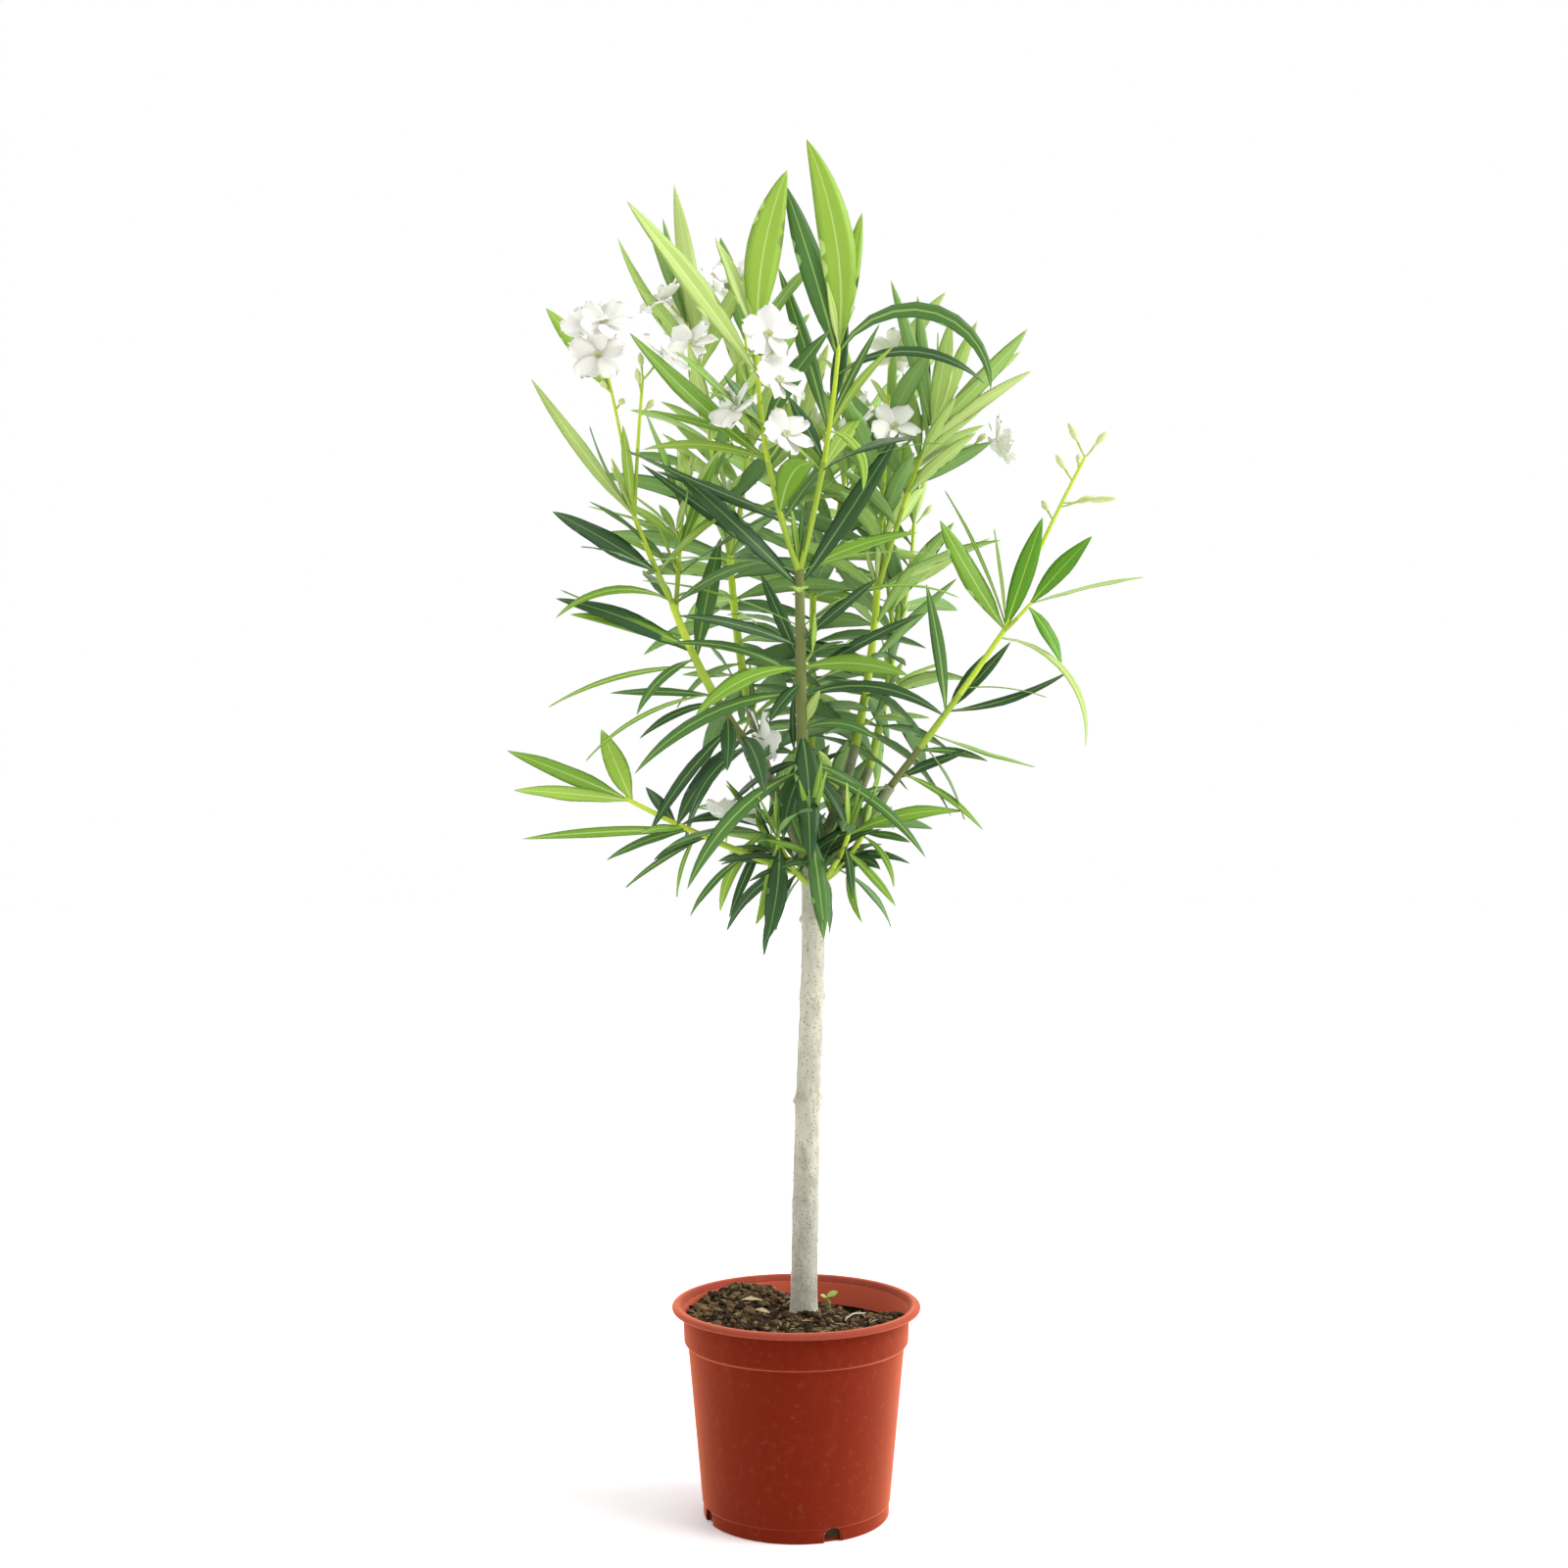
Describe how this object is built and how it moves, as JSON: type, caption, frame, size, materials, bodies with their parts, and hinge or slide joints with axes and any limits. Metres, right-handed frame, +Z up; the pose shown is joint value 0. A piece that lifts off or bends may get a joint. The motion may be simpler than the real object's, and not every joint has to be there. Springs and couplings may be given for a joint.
{
  "type": "potted oleander",
  "caption": "Young standard oleander with white blossom in a round plastic nursery pot: bare stem, forked leafy head, potting mix inside a lipped pot.",
  "frame": {"origin": "centre of the pot's flat underside", "axes": "+Z up along the height, +X to the viewer's right, +Y away from the viewer of the picture"},
  "size_m": [0.5233, 0.4219, 1.1401],
  "materials": {
    "pot_plastic": "satin, dusty",
    "potting_mix": "rough, crumbly",
    "trunk_bark": "rough",
    "young_bark": "satin",
    "foliage": "satin leaf"
  },
  "bodies": {
    "root": {"pot": "pot_plastic", "soil": "potting_mix", "trunk": "trunk_bark", "bough_leader": "young_bark", "bough_left": "young_bark", "bough_right": "young_bark", "bough_inner_right": "young_bark", "bough_back_left": "young_bark", "bough_back": "young_bark", "bough_back_right": "young_bark", "foliage_leader": "foliage", "foliage_left": "foliage", "foliage_right": "foliage", "foliage_inner_right": "foliage", "foliage_back_left": "foliage", "foliage_back": "foliage", "foliage_back_right": "foliage", "foliage_low_left": "foliage", "foliage_skirt_1": "foliage", "foliage_skirt_2": "foliage", "foliage_skirt_3": "foliage", "foliage_skirt_4": "foliage", "foliage_skirt_5": "foliage", "foliage_skirt_6": "foliage", "foliage_skirt_7": "foliage", "foliage_skirt_8": "foliage"}
  },
  "joints": []
}
